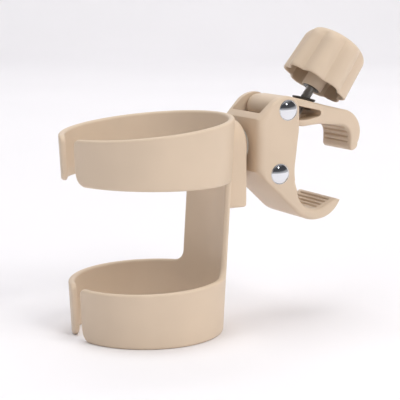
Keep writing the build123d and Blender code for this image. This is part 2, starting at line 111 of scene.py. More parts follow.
def emboss(tree, shader, height, strength, distance):
    """Fine relief on a shader's normal, with its depth in metres."""
    relief = tree.nodes.new("ShaderNodeBump")
    relief.inputs["Strength"].default_value = strength
    relief.inputs["Distance"].default_value = distance
    tree.links.new(height, relief.inputs["Height"])
    tree.links.new(relief.outputs["Normal"], shader.inputs["Normal"])


def plastic(name, base, grain=2600.0, bump=0.10, rough=(0.40, 0.52)):
    """Satin moulded plastic: fine grain, faint flow marks in its colour and a painted highlight that
    makes its sharp edges paler.
    """
    mat, tree, shader, coords = material(name)
    dark = tuple(c * 0.965 for c in base)
    pale = tuple(min(1.0, c * 1.03) for c in base)
    broad = noise(tree, coords, FLOW_SCALE, 2.0)
    flow = ramp(tree, broad, [(0.32, dark), (0.52, base), (0.75, pale)])
    fine = noise(tree, coords, grain, 2.0)
    # painted highlight: edges that are sharp by pointiness turn up to 12% paler in colour
    edge = tree.nodes.new("ShaderNodeNewGeometry").outputs["Pointiness"]
    edge_highlight = tree.nodes.new("ShaderNodeMapRange")
    edge_highlight.inputs["From Min"].default_value = EDGE_HIGHLIGHT_START
    edge_highlight.inputs["From Max"].default_value = EDGE_HIGHLIGHT_FULL
    tree.links.new(edge, edge_highlight.inputs["Value"])
    mix = tree.nodes.new("ShaderNodeMix")
    mix.data_type = "RGBA"
    mix.inputs["B"].default_value = (*(min(1.0, c * 1.12) for c in base), 1.0)
    tree.links.new(edge_highlight.outputs["Result"], mix.inputs["Factor"])
    tree.links.new(flow, mix.inputs["A"])
    tree.links.new(mix.outputs["Result"], shader.inputs["Base Color"])
    tree.links.new(spread(tree, fine, *rough), shader.inputs["Roughness"])
    emboss(tree, shader, fine, bump, PLASTIC_RELIEF)
    shader.inputs["IOR"].default_value = PLASTIC_IOR
    return mat


def metal(name, base, rough, grain=900.0, bump=0.05, tint=0.85):
    """Bare or plated metal, with fine machining grain and slightly uneven tarnish."""
    mat, tree, shader, coords = material(name)
    shader.inputs["Metallic"].default_value = 1.0
    dull = tuple(c * tint for c in base)
    cloudy = ramp(tree, noise(tree, coords, TARNISH_SCALE, 3.0), [(0.35, dull), (0.65, base)])
    tree.links.new(cloudy, shader.inputs["Base Color"])
    fine = noise(tree, coords, grain, 3.0)
    tree.links.new(spread(tree, fine, *rough), shader.inputs["Roughness"])
    emboss(tree, shader, fine, bump, METAL_RELIEF)
    return mat


BEIGE = (0.660, 0.527, 0.397)
MATERIALS = {
    "frame_plastic": plastic("frame_plastic", BEIGE),
    "clamp_plastic": plastic("clamp_plastic", BEIGE),
    "jaw_plastic": plastic("jaw_plastic", BEIGE),
    "knob_plastic": plastic("knob_plastic", BEIGE),
    "grip": plastic("grip", (0.63, 0.505, 0.385), 1900.0, 0.2, (0.5, 0.65)),
    "nylon": plastic("nylon", (0.70, 0.68, 0.62), 1500.0, 0.08, (0.35, 0.45)),
    "brass": metal("brass", (0.72, 0.50, 0.22), (0.25, 0.4)),
    "steel": metal("steel", (0.55, 0.54, 0.53), (0.28, 0.42)),
    "dark_steel": metal("dark_steel", (0.16, 0.155, 0.15), (0.3, 0.5)),
    "chrome": metal("chrome", (0.80, 0.81, 0.84), (0.04, 0.09), 500.0, 0.01, 0.97),
}


def paint(obj, slot):
    """Make one of the finished materials the only one on an object."""
    obj.data.materials.clear()
    obj.data.materials.append(MATERIALS[slot])


SLOT_OF = {part["node"]: part["material_slot"] for part in frame["record"]["subparts"]}
for node, obj in frame["nodes"].items():
    paint(obj, SLOT_OF[node])


# ================================ mesh helpers ==================================================
def around(centre, radius, angle):
    """The point on a circle, with the angle in degrees from the first axis to the second."""
    return (centre[0] + radius * math.cos(math.radians(angle)),
            centre[1] + radius * math.sin(math.radians(angle)))


def arc(centre, radius, start, end, step=1.2):
    """Points along an arc, both ends included, about step millimetres apart."""
    count = max(2, int(abs(math.radians(end - start)) * radius / step) + 1)
    return [around(centre, radius, start + (end - start) * i / count) for i in range(count + 1)]


def bow(first, middle, last, step=1.0):
    """Points along the arc through three points."""
    a, b, c = (complex(*p) for p in (first, middle, last))
    w = (c - a) / (b - a)
    centre = a + (b - a) * (w - abs(w) ** 2) / (2j * w.imag)
    radius = abs(a - centre)
    start, end = (math.degrees(math.atan2((p - centre).imag, (p - centre).real)) for p in (a, c))
    through = math.degrees(math.atan2((b - centre).imag, (b - centre).real))
    if (through - start) % 360 > (end - start) % 360:       # the way round that misses the middle
        end = start - (start - end) % 360
    else:
        end = start + (end - start) % 360
    return arc((centre.real, centre.imag), radius, start, end, step)


def outline(points, step=400.0):
    """A closed loop with material on its left: where each point is and how it moves inwards.

    Points are (u, v) or (u, v, rounding). Each result is (point, move, reach, apex, apex move): the
    point moves by move for each millimetre of inset up to reach, and from there along the apex.
    """
    corners = [Vector(p[:2]) for p in points]
    rows = []
    for i, here in enumerate(corners):
        before = (here - corners[i - 1]).normalized()
        after = (corners[(i + 1) % len(corners)] - here).normalized()
        left, left_after = Vector((-before.y, before.x)), Vector((-after.y, after.x))
        half = math.acos(max(-1.0, min(1.0, before.dot(after)))) / 2
        middle = (left + left_after).normalized()
        rounding = points[i][2] if len(points[i]) > 2 else 0.0
        if rounding == 0.0 or half < 0.01:
            rows.append((here, middle / max(0.5, math.cos(half)), math.inf, here, middle))
            continue
        side = 1 if before.cross(after) > 0 else -1
        centre = here + side * middle * rounding / math.cos(half)
        steps = max(2, math.ceil(2 * half / math.radians(14)))
        for j in range(steps + 1):
            turn = Matrix.Rotation(side * 2 * half * j / steps, 2)
            move = turn @ left
            rows.append((centre - side * rounding * move, move, rounding if side > 0 else math.inf,
                         here, middle / math.cos(half)))
    dense = []
    for i, row in enumerate(rows):
        dense.append(row)
        following = rows[(i + 1) % len(rows)]
        gap = (following[0] - row[0]).length
        for j in range(1, int(gap / step) + 1):
            share = j / (int(gap / step) + 1)
            dense.append((row[0].lerp(following[0], share), row[1].lerp(following[1], share),
                          math.inf, row[0], row[1]))
    return dense


def inset(row, amount):
    """One outline row's point, moved into the material by amount."""
    point, move, reach, apex, apex_move = row
    return point + move * amount if amount <= reach else apex + apex_move * amount


def inside(loops, u, v):
    """Whether a point lies in the region between the loops, by counting crossings."""
    crossings = 0
    for loop in loops:
        for i, (a, b) in enumerate(loop):
            c, d = loop[i - 1]
            if (b > v) != (d > v) and u < a + (v - b) * (c - a) / (d - b):
                crossings += 1
    return crossings % 2 == 1


def mesh_object(name, verts, faces):
    """A linked object from vertices in millimetres, merged and with its faces turned outwards."""
    mesh = bpy.data.meshes.new(name)
    mesh.from_pydata([tuple(MM * c for c in vert) for vert in verts], [], faces)
    work = bmesh.new()
    work.from_mesh(mesh)
    bmesh.ops.remove_doubles(work, verts=work.verts, dist=2e-6)
    bmesh.ops.dissolve_degenerate(work, edges=work.edges, dist=1e-6)
    bmesh.ops.recalc_face_normals(work, faces=work.faces)
    work.to_mesh(mesh)
    work.free()
    obj = bpy.data.objects.new(name, mesh)
    bpy.context.scene.collection.objects.link(obj)
    return obj


def rounded_plate(name, loops, low, high, radius, place, grid=0.0, arc_steps=4):
    """A plate between low and high with its loops' edges rounded, put in space by place(u, v, w).

    radius(u, v) gives the rounding at the low face and at the high face.
    """
    verts, faces, caps = [], [], [[], []]
    for rows in loops:
        rings = []
        for side, face, sign in ((0, low, 1), (1, high, -1)):
            stack = []
            for k in range(-1, arc_steps + 1):
                angle = math.pi / 2 * max(k, 0) / arc_steps
                ring = []
                for row in rows:
                    r = radius(*row[0])[side]
                    support = min(0.3, r * 0.4) if k < 0 else 0.0
                    u, v = inset(row, r * (1 - math.sin(angle)) + support)
                    ring.append((u, v, face + sign * r * (1 - math.cos(angle))))
                stack.append(ring)
            caps[side].append([(u, v) for u, v, w in stack[0]])
            rings += stack if side == 0 else stack[::-1]
        base = len(verts)
        count = len(rows)
        for ring in rings:
            verts += ring
        for k in range(len(rings) - 1):
            for i in range(count):
                j = (i + 1) % count
                faces.append((base + k * count + i, base + k * count + j,
                              base + (k + 1) * count + j, base + (k + 1) * count + i))
    for side, face in ((0, low), (1, high)):
        flat, edges = [], []
        for loop in caps[side]:
            first = len(flat)
            flat += loop
            edges += [(first + i, first + (i + 1) % len(loop)) for i in range(len(loop))]
        if grid:
            us, vs = [p[0] for p in flat], [p[1] for p in flat]
            rim = list(flat)
            for a in np.arange(min(us), max(us), grid):
                for b in np.arange(min(vs), max(vs), grid):
                    near = min((a - p) ** 2 + (b - q) ** 2 for p, q in rim)
                    if near > (0.55 * grid) ** 2 and inside(caps[side], a, b):
                        flat.append((a, b))
        found = delaunay_2d_cdt([Vector(p) for p in flat], edges, [], 2, 1e-7)
        base = len(verts)
        verts += [(p.x, p.y, face) for p in found[0]]
        faces += [tuple(base + i for i in triangle) for triangle in found[2]]
    return mesh_object(name, [place(*vert) for vert in verts], faces)


def grid_mesh(name, rows, cap=True):
    """A tube of rings of points, with its first and last rings closed if cap is set."""
    count = len(rows[0])
    verts = [point for row in rows for point in row]
    faces = []
    for k in range(len(rows) - 1):
        for i in range(count):
            j = (i + 1) % count
            faces.append((k * count + i, k * count + j, (k + 1) * count + j, (k + 1) * count + i))
    if cap:
        faces.append(tuple(range(count)))
        faces.append(tuple(range((len(rows) - 1) * count, len(rows) * count)))
    return mesh_object(name, verts, faces)


def carve(obj, tool, operation="DIFFERENCE"):
    """Apply an exact boolean with a tool object, which is then removed."""
    cut = obj.modifiers.new("cut", "BOOLEAN")
    cut.operation = operation
    cut.object = tool
    cut.solver = "EXACT"
    bpy.context.view_layer.update()
    evaluated = obj.evaluated_get(bpy.context.evaluated_depsgraph_get())
    mesh = bpy.data.meshes.new_from_object(evaluated)
    obj.modifiers.clear()
    old, obj.data = obj.data, mesh
    bpy.data.meshes.remove(old)
    bpy.data.objects.remove(tool)


def even(rounding):
    """The same rounding all round a plate, at both of its faces."""
    return lambda u, v: (rounding, rounding)


def finish_piece(obj, body, nodes, slot, sharp=34.0):
    """Smooth shading, finish, body and the CAD nodes that the piece stands for; sharp in degrees."""
    obj.data.shade_smooth()
    obj.data.set_sharp_from_angle(angle=math.radians(sharp))
    paint(obj, slot)
    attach(obj, body)
    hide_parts(*nodes)


# ================================ dimensions of the part, in millimetres ========================
JOINTS = {joint["name"]: joint for joint in frame["record"]["behaviour"]["joints"]}


def joint_point(name):
    """A joint's place in millimetres, as (X, Z)."""
    x, _, z = JOINTS[name]["pos_m"]
    return (x / MM, z / MM)


SWIVEL = joint_point("clamp_swivel")
JAW_PIN = joint_point("jaw_pivot")
BOLT_PIN = joint_point("bolt_swing")
BOLT_DIR = -Vector(JOINTS["knob_turn"]["axis"])
ACROSS = Vector((BOLT_DIR.z, 0, -BOLT_DIR.x))           # square to the bolt, down the jaw

CUP_R_BOTTOM, CUP_TAPER, CUP_WALL = 37.85, 0.0515, 3.1
LOWER_RIM, UPPER_FOOT, UPPER_RIM = (27.46, 0.030), (75.9, -0.019), (103.1, 0.096)
SPINE_HALF = 21.95
LOWER_GAP_HALF, UPPER_GAP_HALF = 4.6, 7.6
RIM_ROUND = 1.25
CAP_GRID = 3.2              # spacing of the points on the flattened wall's faces
ARC_R = 40.0                # radius at which the frame's wall is laid out flat

RECEIVER_BACK, RECEIVER_HALF, RECEIVER_FOOT = 50.0, 12.75, 60.0
LIP, CHANNEL_DEEP, CHANNEL_HALF, NECK_SLOT_HALF = 2.0, 3.6, 9.6, 5.3

HALF_WIDTH, PLATE, BACK_X, SKIN, BACK_TOP = 18.0, 4.0, 53.0, 3.0, 104.5
LOBE_R, MOUTH, MOUTH_R, JAW_THICK = 7.0, (87.9, 67.4), 10.9, 5.5
SLOPE = math.radians(43.3)
FRONT_X = 77.3
LIP_ANGLE, TIP_ANGLE, LIP_LONG = 295.0, 335.0, 8.3
EAR_START = (60.6, 111.3)

JAW_HALF, BARREL_R = 13.25, 6.2
JAW_TOP, HUB_TOP = ((83.0, 112.75), (98.0, 108.9)), (74.5, 114.7)
HOOK, HOOK_R = (106.0, 94.6), 12.2
HOOK_CORNER, HOOK_CORNER_R = (105.2, 92.2), 6.5
SLOT_HALF, ARM_UNDERSIDE = 3.1, 13.4
PAD_PROUD = 0.3
DOME_R, DOME_HIGH = 5.25, 1.9
PIN_R, EYE_HOLE_R, BARREL_HOLE_R, BEARING_R = 2.5, 2.56, 2.58, 4.06
EYE_R, EYE_HALF, EYE_BOSS_R, EYE_BOSS_AT = 4.4, 4.0, 4.5, 4.3
PAD_DEEP, PAD_EDGE, GROOVE_HALF, GROOVE_DEEP = 0.85, 0.6, 0.85, 0.85
FINE = 0.1                  # rounding of the edges inside holes

BOSS_AT, SKIRT_AT = 50.3, 53.2
KNOB_R, KNOB_TALL, KNOB_SIDE, KNOB_DRAFT = 18.5, 27.5, 20.0, 2.8
KNOB_LOBES, KNOB_PHASE, FLUTE_DEEP = 8, 27.0, 2.5
KNOB_RIBS, RIB_RISE, RIB_END, RIB_HALF = 4, 7.0, 14.2, 0.65
LATHE_STEPS = 96
POLE = 0.02                 # radius of the tiny ring that closes a turned surface
BOSS_R, RING_R, BOLT_R, BOLT_LONG = 5.5, 4.4, 2.5, 66.0
THREAD_PITCH, THREAD_DEEP, THREAD_START = 0.8, 0.42, 7.0


# ================================ cup frame =====================================================
def cone_radius(z):
    """Outer radius of the cup frame's wall at height z."""
    return CUP_R_BOTTOM + CUP_TAPER * z


def on_cone(s, z, w):
    """A point of the wall laid out flat, at depth w under its outer surface, back in space."""
    angle = s / ARC_R
    radius = cone_radius(z) - w
    return (radius * math.cos(angle), radius * math.sin(angle), z)


def rim_run(edge, start, end, rounding):
    """Points along one slanted edge between two angles, with the rounding at each end."""
    count = max(2, int(abs(end - start) * ARC_R / 2.0))
    ends = {0: rounding[0], count: rounding[1]}
    run = []
    for i in range(count + 1):
        angle = start + (end - start) * i / count
        z = edge[0] + edge[1] * cone_radius(edge[0]) * math.cos(angle)
        run.append((angle * ARC_R, z, ends.get(i, 0.0)))
    return run


def clear_ends(run, reach):
    """A run without the points that its own end corners' roundings take up."""
    first, last = run[0], run[-1]
    keep = [p for p in run[1:-1]
            if math.dist(p[:2], first[:2]) > reach[0] and math.dist(p[:2], last[:2]) > reach[1]]
    return [first, *keep, last]


def build_cup_frame():
    """Both split rings and the spine as one rounded wall, with the arched receiver on its back."""
    def gap(half, z):
        return math.pi - math.asin(half / cone_radius(z))

    def spine(z):
        return math.asin(SPINE_HALF / cone_radius(z))

    half_right = []
    for edge, start, end, rounding, reach in (
            (LOWER_RIM, gap(LOWER_GAP_HALF, 27), spine(27), (3.5, 5.5), (4.5, 6.5)),
            (UPPER_FOOT, spine(76), gap(UPPER_GAP_HALF, 76), (1.2, 6.5), (2.5, 8)),
            (UPPER_RIM, gap(UPPER_GAP_HALF, 99), 0.0, (4.0, 0.0), (5.0, 0))):
        half_right += clear_ends(rim_run(edge, start, end, rounding), reach)
    half_left = [(-s, z, r) for s, z, r in half_right[:-1]][::-1]
    foot, mouth = (0.0, 0.0), gap(LOWER_GAP_HALF, 0)
    bottom = clear_ends(rim_run(foot, -mouth, mouth, (6.0, 6.0)), (7.5, 7.5))
    loop = outline(bottom + half_right + half_left, step=2.0)
    shell = rounded_plate("cup_frame_shell", [loop], 0.0, CUP_WALL, even(RIM_ROUND), on_cone,
                          grid=CAP_GRID)

    def arch(half, foot_z):
        top = arc((0.0, SWIVEL[1]), half, 0, 180, 1.0)
        return [(-half, foot_z, 1.6), (half, foot_z, 1.6), *top]

    def back_block(y, z, w):
        near = RECEIVER_BACK - w
        if w <= 4:
            return (near, y, z)
        front = math.sqrt((cone_radius(z) - CUP_WALL / 2) ** 2 - y * y)
        return (RECEIVER_BACK - 4 + (front - RECEIVER_BACK + 4) * (w - 4) / 6, y, z)

    face = outline(arch(RECEIVER_HALF, RECEIVER_FOOT), step=2.5)
    block = rounded_plate("receiver", [face], 0.0, 10.0, lambda u, v: (1.5, 0.05), back_block, grid=3.0)
    carve(shell, block, "UNION")
    for half, start, deep in ((CHANNEL_HALF, LIP, CHANNEL_DEEP), (NECK_SLOT_HALF, -1.0, LIP + 1.5)):
        carve(shell, rounded_plate("channel", [outline(arch(half, RECEIVER_FOOT - 6))], start,
                                   start + deep, even(0.25), lambda y, z, w: (RECEIVER_BACK - w, y, z)))
    finish_piece(shell, "holder", ["cup_frame"], "frame_plastic")


# ================================ clamp housing =================================================
def across(u, v, w):
    """A point of a section in the XZ plane, w along Y."""
    return (u, w, v)


def band_point(centre, radius, end, turn, s, offset):
    """The point s past the end of a band's arc and offset above the band's surface."""
    if s <= 0:
        angle = math.radians(end) + turn * s / radius
        out = Vector((math.cos(angle), math.sin(angle)))
        return Vector(centre) + (radius - offset) * out
    out = Vector(around((0, 0), 1.0, end))
    along = Vector(around((0, 0), 1.0, end + 90 * turn))
    return Vector(centre) + (radius - offset) * out + s * along


def band_block(name, band, s_from, s_to, half, top, bottom):
    """A closed block along a band, with top(s, y) and bottom as heights over its surface."""
    count, across_count = int((s_to - s_from) / 0.16), int(2 * half / 0.4)
    rows = []
    for i in range(count + 1):
        s = s_from + (s_to - s_from) * i / count
        ring = []
        for j in range(across_count + 1):
            y = -half + 2 * half * j / across_count
            x, z = band_point(*band, s, top(s, y))
            ring.append((x, y, z))
        for y in (half, -half):
            x, z = band_point(*band, s, bottom)
            ring.append((x, y, z))
        rows.append(ring)
    return grid_mesh(name, rows)


def add_pad(jaw, name, band, s_from, s_to, half, grooves, body, node):
    """A grip pad with soft-edged grooves, in a pocket cut into the jaw."""
    def ease(distance, width):
        share = max(0.0, min(1.0, distance / width))
        return share * share * (3 - 2 * share)

    def top(s, y):
        edge = min(s - s_from, s_to - s, half - abs(y))
        height = PAD_PROUD * ease(edge, PAD_EDGE) - 0.05
        run_out = ease(half - 0.9 - abs(y), 1.0)
        for groove in grooves:
            share = abs(s - groove) / GROOVE_HALF
            if share < 1:
                height -= GROOVE_DEEP * (0.5 + 0.5 * math.cos(math.pi * share)) ** 0.8 * run_out
        return height

    carve(jaw, band_block("pocket", band, s_from + 0.1, s_to - 0.1, half - 0.1, lambda s, y: 1.2,
                          0.1 - PAD_DEEP))
    pad = band_block(name, band, s_from, s_to, half, top, -PAD_DEEP)
    finish_piece(pad, body, [node], "grip", 50.0)


LOWER_BAND = (MOUTH, MOUTH_R, LIP_ANGLE, 1)
UPPER_BAND = (HOOK_CORNER, HOOK_CORNER_R, 0.0, -1)


def build_housing():
    """The clamp's body: two side plates joined by a back wall, an underside and the lower jaw."""
    outer_r = MOUTH_R + JAW_THICK
    slope = math.degrees(SLOPE)
    underside = around(MOUTH, outer_r, 270 - slope)
    back_foot = (BACK_X, underside[1] + (underside[0] - BACK_X) * math.tan(SLOPE))
    end = around(MOUTH, MOUTH_R, LIP_ANGLE)
    tip = (end[0] + LIP_LONG, end[1] + LIP_LONG * math.tan(math.radians(LIP_ANGLE - 270)))
    soft = Vector(back_foot) + 6.0 * Vector((math.cos(SLOPE), -math.sin(SLOPE)))
    points = [(*back_foot, 0.8), tuple(soft)]
    points += arc(MOUTH, outer_r, 270 - slope, TIP_ANGLE, 1.3)
    points += [(tip[0] + 0.9, tip[1] - 0.6, 2.2), (tip[0] - 0.2, tip[1] - 0.1, 1.4)]
    points += arc(MOUTH, MOUTH_R, LIP_ANGLE, 180, 1.0)
    points += bow((MOUTH[0] - MOUTH_R, MOUTH[1]), (75.4, 73.0), (75.1, 79.5), 1.2)[1:]
    points += [(FRONT_X, 98.0, 14.0)]
    points += arc(JAW_PIN, LOBE_R, 0, 90, 1.0)
    points += bow((JAW_PIN[0], JAW_PIN[1] + LOBE_R), (65.0, 114.3), EAR_START, 1.0)[1:-1]
    points += [(*EAR_START, 1.0), (BACK_X, BACK_TOP, 0.8)]

    def edge(u, v):
        """Rounding of the side edges: full at the back, less underneath and at the jaw's tip."""
        if u < BACK_X + 2:
            r = 4.0
        elif v < 72 and u < 80:
            r = 1.9
        elif v < 64:
            r = 1.9 - max(0.0, min(1.0, (u - 90.0) / 6.0))
        else:
            r = 1.2
        return (r, r)

    body = rounded_plate("clamp_housing_shell", [outline(points)], -HALF_WIDTH, HALF_WIDTH, edge,
                         across, arc_steps=5)
    fall = math.tan(SLOPE)
    inner = (BACK_X + SKIN, back_foot[1] - SKIN * fall + SKIN / math.cos(SLOPE))
    wall = around(MOUTH, MOUTH_R + SKIN, 205)
    floor_end = (wall[0] - 1.0, inner[1] - (wall[0] - 1.0 - inner[0]) * fall)
    hollow = [(*floor_end, 0.8), *arc(MOUTH, MOUTH_R + SKIN, 205, 180, 1.2), (73.7, 72.0, 0.4),
              (90.0, 72.0), (90.0, 130.0), (BACK_X + SKIN, 130.0), (*inner, 1.5)]
    room = HALF_WIDTH - PLATE
    carve(body, rounded_plate("hollow", [outline(hollow)], -room, room, even(0.7), across))
    hole = arc((0.0, SWIVEL[1]), BEARING_R, 0, 345, 0.9)
    carve(body, rounded_plate("bearing", [outline(hole)], BACK_X - 1, BACK_X + SKIN + 1, even(FINE),
                              lambda u, v, w: (w, u, v)))
    for pin in (JAW_PIN, BOLT_PIN):
        ring = arc(pin, EYE_HOLE_R, 0, 340, 0.8)
        carve(body, rounded_plate("rivet_hole", [outline(ring)], -HALF_WIDTH - 1, HALF_WIDTH + 1,
                                  even(FINE), across))
    add_pad(body, "lower_grip", LOWER_BAND, -math.radians(LIP_ANGLE - 238) * MOUTH_R, 7.6, 15.0,
            (-1.8, 0.9, 3.6, 6.3), "clamp", "lower_jaw_pad")
    for side in (-1, 1):        # bosses beside the bolt's eye
        boss = arc(BOLT_PIN, EYE_BOSS_R, 0, 345, 0.9)
        pin_hole = arc(BOLT_PIN, EYE_HOLE_R, 345, 0, 0.9)
        near, far = sorted((side * EYE_BOSS_AT, side * (room + 0.5)))
        carve(body, rounded_plate("boss", [outline(boss), outline(pin_hole)], near, far, even(0.25),
                                  across), "UNION")
    finish_piece(body, "clamp", ["clamp_housing"], "clamp_plastic")


# ================================ upper jaw =====================================================
def build_upper_jaw():
    """The hooked upper jaw, with the opening through its arm and the bolt's slots."""
    end = around(HOOK, HOOK_R, -28)
    arm = around(around(HOOK_CORNER, HOOK_CORNER_R, 85), ARM_UNDERSIDE, 175)
    inner_x = HOOK_CORNER[0] + HOOK_CORNER_R
    points = [(*arm, 3.0), *arc(HOOK_CORNER, HOOK_CORNER_R, 85, 0, 0.9), (inner_x, 87.6)]
    points += bow((inner_x, 87.6), (111.9, 86.0), (113.2, 84.9), 0.6)[1:-1]
    points += bow((113.2, 84.9), (end[0] - 2.0, end[1] - 3.6), end, 0.8)[:-1]
    points += arc(HOOK, HOOK_R, -28, 82, 1.2)
    points += [(*JAW_TOP[1], 6.0), (*JAW_TOP[0], 6.0), (*HUB_TOP, 2.5)]
    points += arc(JAW_PIN, BARREL_R, 88, 290, 1.0)
    points += [(82.0, 99.0, 5.0)]
    tunnel = [(78.5, 110.2, 0.8), *bow((91.0, 107.3), (93.2, 105.5), (91.8, 103.8), 0.7),
              (86.0, 102.5, 2.0), (78.5, 102.3, 0.8)]
    jaw = rounded_plate("upper_jaw_shell", [outline(points)], -JAW_HALF, JAW_HALF, even(1.3), across,
                        arc_steps=5)
    carve(jaw, rounded_plate("tunnel", [outline(tunnel[::-1])], -JAW_HALF - 1, JAW_HALF + 1, even(0.2),
                             across))
    for start, stop, foot, height in ((84.6, 97.5, 106.0, 12.0), (78.0, 92.0, 95.0, 10.0)):
        slot = arc((stop - SLOT_HALF, 0), SLOT_HALF, -90, 90, 0.8)
        slot += arc((start + SLOT_HALF, 0), SLOT_HALF, 90, 270, 0.8)
        carve(jaw, rounded_plate("slot", [outline(slot)], foot, foot + height, even(0.2),
                                 lambda u, v, w: (u, v, w)))
    ring = arc(JAW_PIN, BARREL_HOLE_R, 0, 340, 0.8)
    carve(jaw, rounded_plate("pin_hole", [outline(ring)], -JAW_HALF - 1, JAW_HALF + 1, even(FINE),
                             across))
    add_pad(jaw, "upper_grip", UPPER_BAND, -math.radians(78) * HOOK_CORNER_R, 3.6, 11.8,
            (-5.4, -2.7, 0.0, 2.7), "jaw", "upper_jaw_pad")
    finish_piece(jaw, "jaw", ["upper_jaw"], "jaw_plastic")


# ================================ bolt, washer, knob and rivets =================================
def on_bolt(radius, angle, at):
    """The point at a distance along the bolt from the lower rivet, and off its axis."""
    foot = Vector((BOLT_PIN[0], 0, BOLT_PIN[1])) + float(at) * BOLT_DIR
    return tuple(foot + float(radius) * (math.cos(angle) * ACROSS + math.sin(angle) * Vector((0, 1, 0))))


def knob_outer(angle, at):
    """Outer radius of the knob, with its flutes fading out over the crown."""
    up = at - SKIRT_AT
    radius = KNOB_R - 0.12 - min(up, KNOB_SIDE) * math.sin(math.radians(KNOB_DRAFT))
    fade = max(0.0, min(1.0, (KNOB_TALL - 0.5 - up) / 5.0))
    fade = fade * fade * (3 - 2 * fade)
    wave = 1.0 - abs(math.sin(KNOB_LOBES / 2 * (angle - math.radians(KNOB_PHASE)))) ** 1.1
    return radius - FLUTE_DEEP * wave * fade


def build_knob():
    """The fluted hand knob: outer skin, scalloped skirt, hollow with ribs, and its boss."""
    steps = 192
    angles = [2 * math.pi * i / steps for i in range(steps)]
    wall, crown = 1.5, KNOB_R - KNOB_SIDE * math.sin(math.radians(KNOB_DRAFT))
    ceiling = SKIRT_AT + KNOB_SIDE - 1
    rows = []

    def ring(radius_of):
        rows.append([on_bolt(*radius_of(angle)) for angle in angles])

    bore = BOLT_R + 0.35
    top = SKIRT_AT + KNOB_TALL
    for radius, at in ((POLE, top - 4.5), (bore, top - 4.5), (bore, BOSS_AT + 1.15),
                       (RING_R + 0.3, BOSS_AT + 1.15), (RING_R + 0.3, BOSS_AT + 0.15),
                       (RING_R + 0.4, BOSS_AT), (BOSS_R - 0.35, BOSS_AT), (BOSS_R - 0.1, BOSS_AT + 0.1),
                       (BOSS_R, BOSS_AT + 0.4), (BOSS_R, ceiling - 0.6), (BOSS_R + 0.6, ceiling)):
        ring(lambda angle, r=radius, a=at: (r, angle, a))
    ring(lambda angle: (knob_outer(angle, ceiling) - wall - 1.4, angle, ceiling))
    ring(lambda angle: (knob_outer(angle, ceiling) - wall - 0.3, angle, ceiling - 0.7))
    for at in np.linspace(ceiling - 2.0, SKIRT_AT + 0.7, 9):
        ring(lambda angle, a=at: (knob_outer(angle, a) - wall, angle, a))
    for k in range(1, 6):       # the skirt's rounded edge
        turn = math.pi * k / 6
        ring(lambda angle, t=turn: (
            knob_outer(angle, SKIRT_AT + 0.7) - wall / 2 - wall / 2 * math.cos(t), angle,
            SKIRT_AT + 0.7 - 0.7 * math.sin(t)))
    for at in np.linspace(SKIRT_AT + 0.7, SKIRT_AT + KNOB_SIDE, 16):
        ring(lambda angle, a=at: (knob_outer(angle, a), angle, a))
    rise = KNOB_TALL - KNOB_SIDE
    for k in range(1, 13):      # the crown, a quarter of a flattened oval with a nearly flat top
        turn = math.pi / 2 * k / 13
        at = SKIRT_AT + KNOB_SIDE + (rise - 0.6) * math.sin(turn) ** 0.95
        shrink = 7.5 * (1 - math.cos(turn))
        ring(lambda angle, a=at, s=shrink: (knob_outer(angle, a) - s, angle, a))
    for share in (0.72, 0.5, 0.3, 0.12, 0.002):
        at = top - 0.1 - 0.45 * (share / 0.72) ** 2
        ring(lambda angle, s=share, a=at: ((crown - 5.5) * s, angle, a))
    knob = grid_mesh("knob_shell", rows)
    for i in range(KNOB_RIBS):  # ribs from the boss to the skirt
        angle = math.radians(KNOB_PHASE) + 2 * math.pi * i / KNOB_RIBS
        ring_points = []
        for at in (SKIRT_AT + RIB_RISE, ceiling + 0.4):
            corners = []
            for radius, side in ((BOSS_R - 0.4, -1), (RIB_END, -1), (RIB_END, 1), (BOSS_R - 0.4, 1)):
                lean = side * math.atan2(RIB_HALF, radius)
                corners.append(on_bolt(math.hypot(radius, RIB_HALF), angle + lean, at))
            ring_points.append(corners)
        carve(knob, grid_mesh("rib", ring_points), "UNION")
    finish_piece(knob, "knob", ["knob"], "knob_plastic")


def build_bolt():
    """The eye bolt, with its thread cut as one helix."""
    steps, per_pitch = 28, 8
    start, end = THREAD_START, BOLT_LONG
    rows = [[on_bolt(BOLT_R - 0.5, 2 * math.pi * i / steps, 3.0) for i in range(steps)],
            [on_bolt(BOLT_R - 0.2, 2 * math.pi * i / steps, start - 0.4) for i in range(steps)]]
    count = int((end - start) / THREAD_PITCH * per_pitch)
    for k in range(count + 1):
        at = start + (end - start) * k / count
        ring = []
        for i in range(steps):
            share = (at / THREAD_PITCH - i / steps) % 1.0
            groove = max(0.0, min(1.0, 1.35 - 3.2 * abs(share - 0.5)))
            radius = BOLT_R - THREAD_DEEP * groove
            radius = min(radius, BOLT_R - 0.45 + (end - at))
            ring.append(on_bolt(radius, 2 * math.pi * i / steps, at))
        rows.append(ring)
    bolt = grid_mesh("bolt_thread", rows)
    carve(bolt, rounded_plate("eye", [outline(arc(BOLT_PIN, EYE_R, 0, 350, 0.7))], -EYE_HALF, EYE_HALF,
                              even(0.4), across), "UNION")
    carve(bolt, rounded_plate("eye_hole", [outline(arc(BOLT_PIN, EYE_HOLE_R, 0, 345, 0.7))],
                              -EYE_HALF - 1, EYE_HALF + 1, even(FINE), across))
    finish_piece(bolt, "bolt", ["eye_bolt"], "steel", 60.0)


def lathe(name, profile, place, cap=True):
    """A profile of (radius, height) turned round an axis, put in space by place(x, y, h)."""
    rows = []
    for radius, height in profile:
        rows.append([place(radius * math.cos(a), radius * math.sin(a), height)
                     for a in np.linspace(0, 2 * math.pi, LATHE_STEPS, endpoint=False)])
    return grid_mesh(name, rows, cap)


